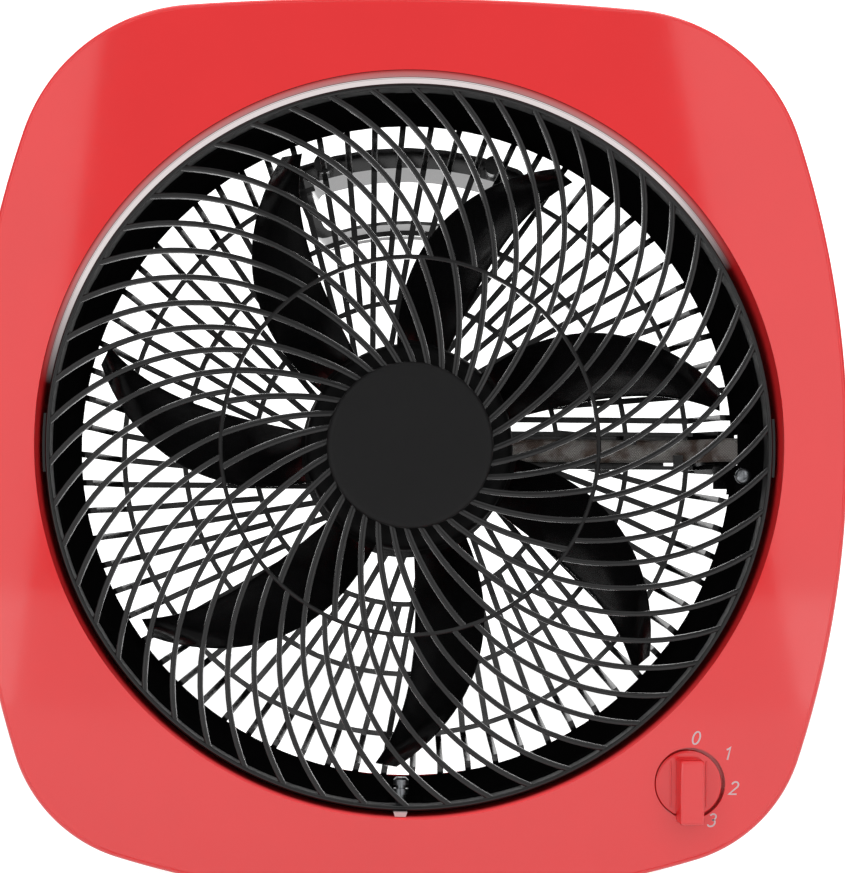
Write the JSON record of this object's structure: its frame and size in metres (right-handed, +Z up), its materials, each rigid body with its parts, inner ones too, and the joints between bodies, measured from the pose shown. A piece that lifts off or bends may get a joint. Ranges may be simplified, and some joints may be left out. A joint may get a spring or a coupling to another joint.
{
  "type": "box fan",
  "caption": "Compact box fan with a rounded square plastic casing, a spiral front grille, a bladed impeller on a shaded pole motor, a carry handle at the back and a front speed knob.",
  "frame": {"origin": "middle of the footprint, on the ground under the feet", "axes": "+Z up, -Y out of the front grille towards the user, +X to the right as seen from the front; the fan blows along -Y and its axis runs along Y at 0.176 m above the ground"},
  "size_m": [0.33, 0.123, 0.345],
  "materials": {
    "red_shell": "smooth moulded plastic",
    "grille_grey": "satin moulded plastic",
    "cap_grey": "satin moulded plastic",
    "black_gloss": "polished moulded plastic",
    "blade_black": "satin moulded plastic",
    "zinc": "bright zinc plate",
    "shaft_steel": "ground steel",
    "core_steel": "varnished laminations",
    "copper": "enamelled copper wire",
    "bronze": "sintered bronze",
    "pale_plastic": "moulded plastic",
    "sleeve_grey": "woven glass sleeve",
    "wire_red": "insulation",
    "ivory": "moulded plastic",
    "pad_rubber": "soft rubber",
    "bushing_black": "soft moulding"
  },
  "bodies": {
    "casing": {"front_housing": "red_shell", "rear_housing": "red_shell", "front_grille": "grille_grey", "grille_cap": "cap_grey", "grille_lock_screw": "zinc", "grille_latch": "pale_plastic", "air_duct": "black_gloss", "duct_screws": "zinc", "rear_grille": "black_gloss", "carry_handle": "black_gloss", "handle_screws": "zinc", "stator_core": "core_steel", "windings": "copper", "motor_front_shell": "zinc", "motor_rear_shell": "zinc", "front_bearing": "bronze", "rear_bearing": "bronze", "motor_bolts": "zinc", "motor_mount_screws": "zinc", "lead_sleeve": "sleeve_grey", "lead_wires": "wire_red", "channel_screw": "zinc", "rotary_switch": "ivory", "switch_nut": "zinc", "housing_screws": "zinc", "rear_grille_screws": "zinc", "left_foot": "red_shell", "right_foot": "red_shell", "foot_pads": "pad_rubber", "foot_screws": "zinc", "cord_bushing": "bushing_black"},
    "rotor": {"impeller": "blade_black", "spinner_nut": "blade_black", "motor_shaft": "shaft_steel", "rotor_core": "core_steel"},
    "knob": {"speed_knob": "red_shell", "switch_shaft": "shaft_steel"}
  },
  "joints": [
    {"name": "impeller_spin", "type": "hinge", "parent": "casing", "child": "rotor", "pos_m": [0, 0, 0.176], "axis": [0, 1, 0], "continuous": true},
    {"name": "knob_turn", "type": "hinge", "parent": "casing", "child": "knob", "pos_m": [0.1051, -0.05, 0.0498], "axis": [0, 1, 0], "range_deg": [0, 135]}
  ]
}
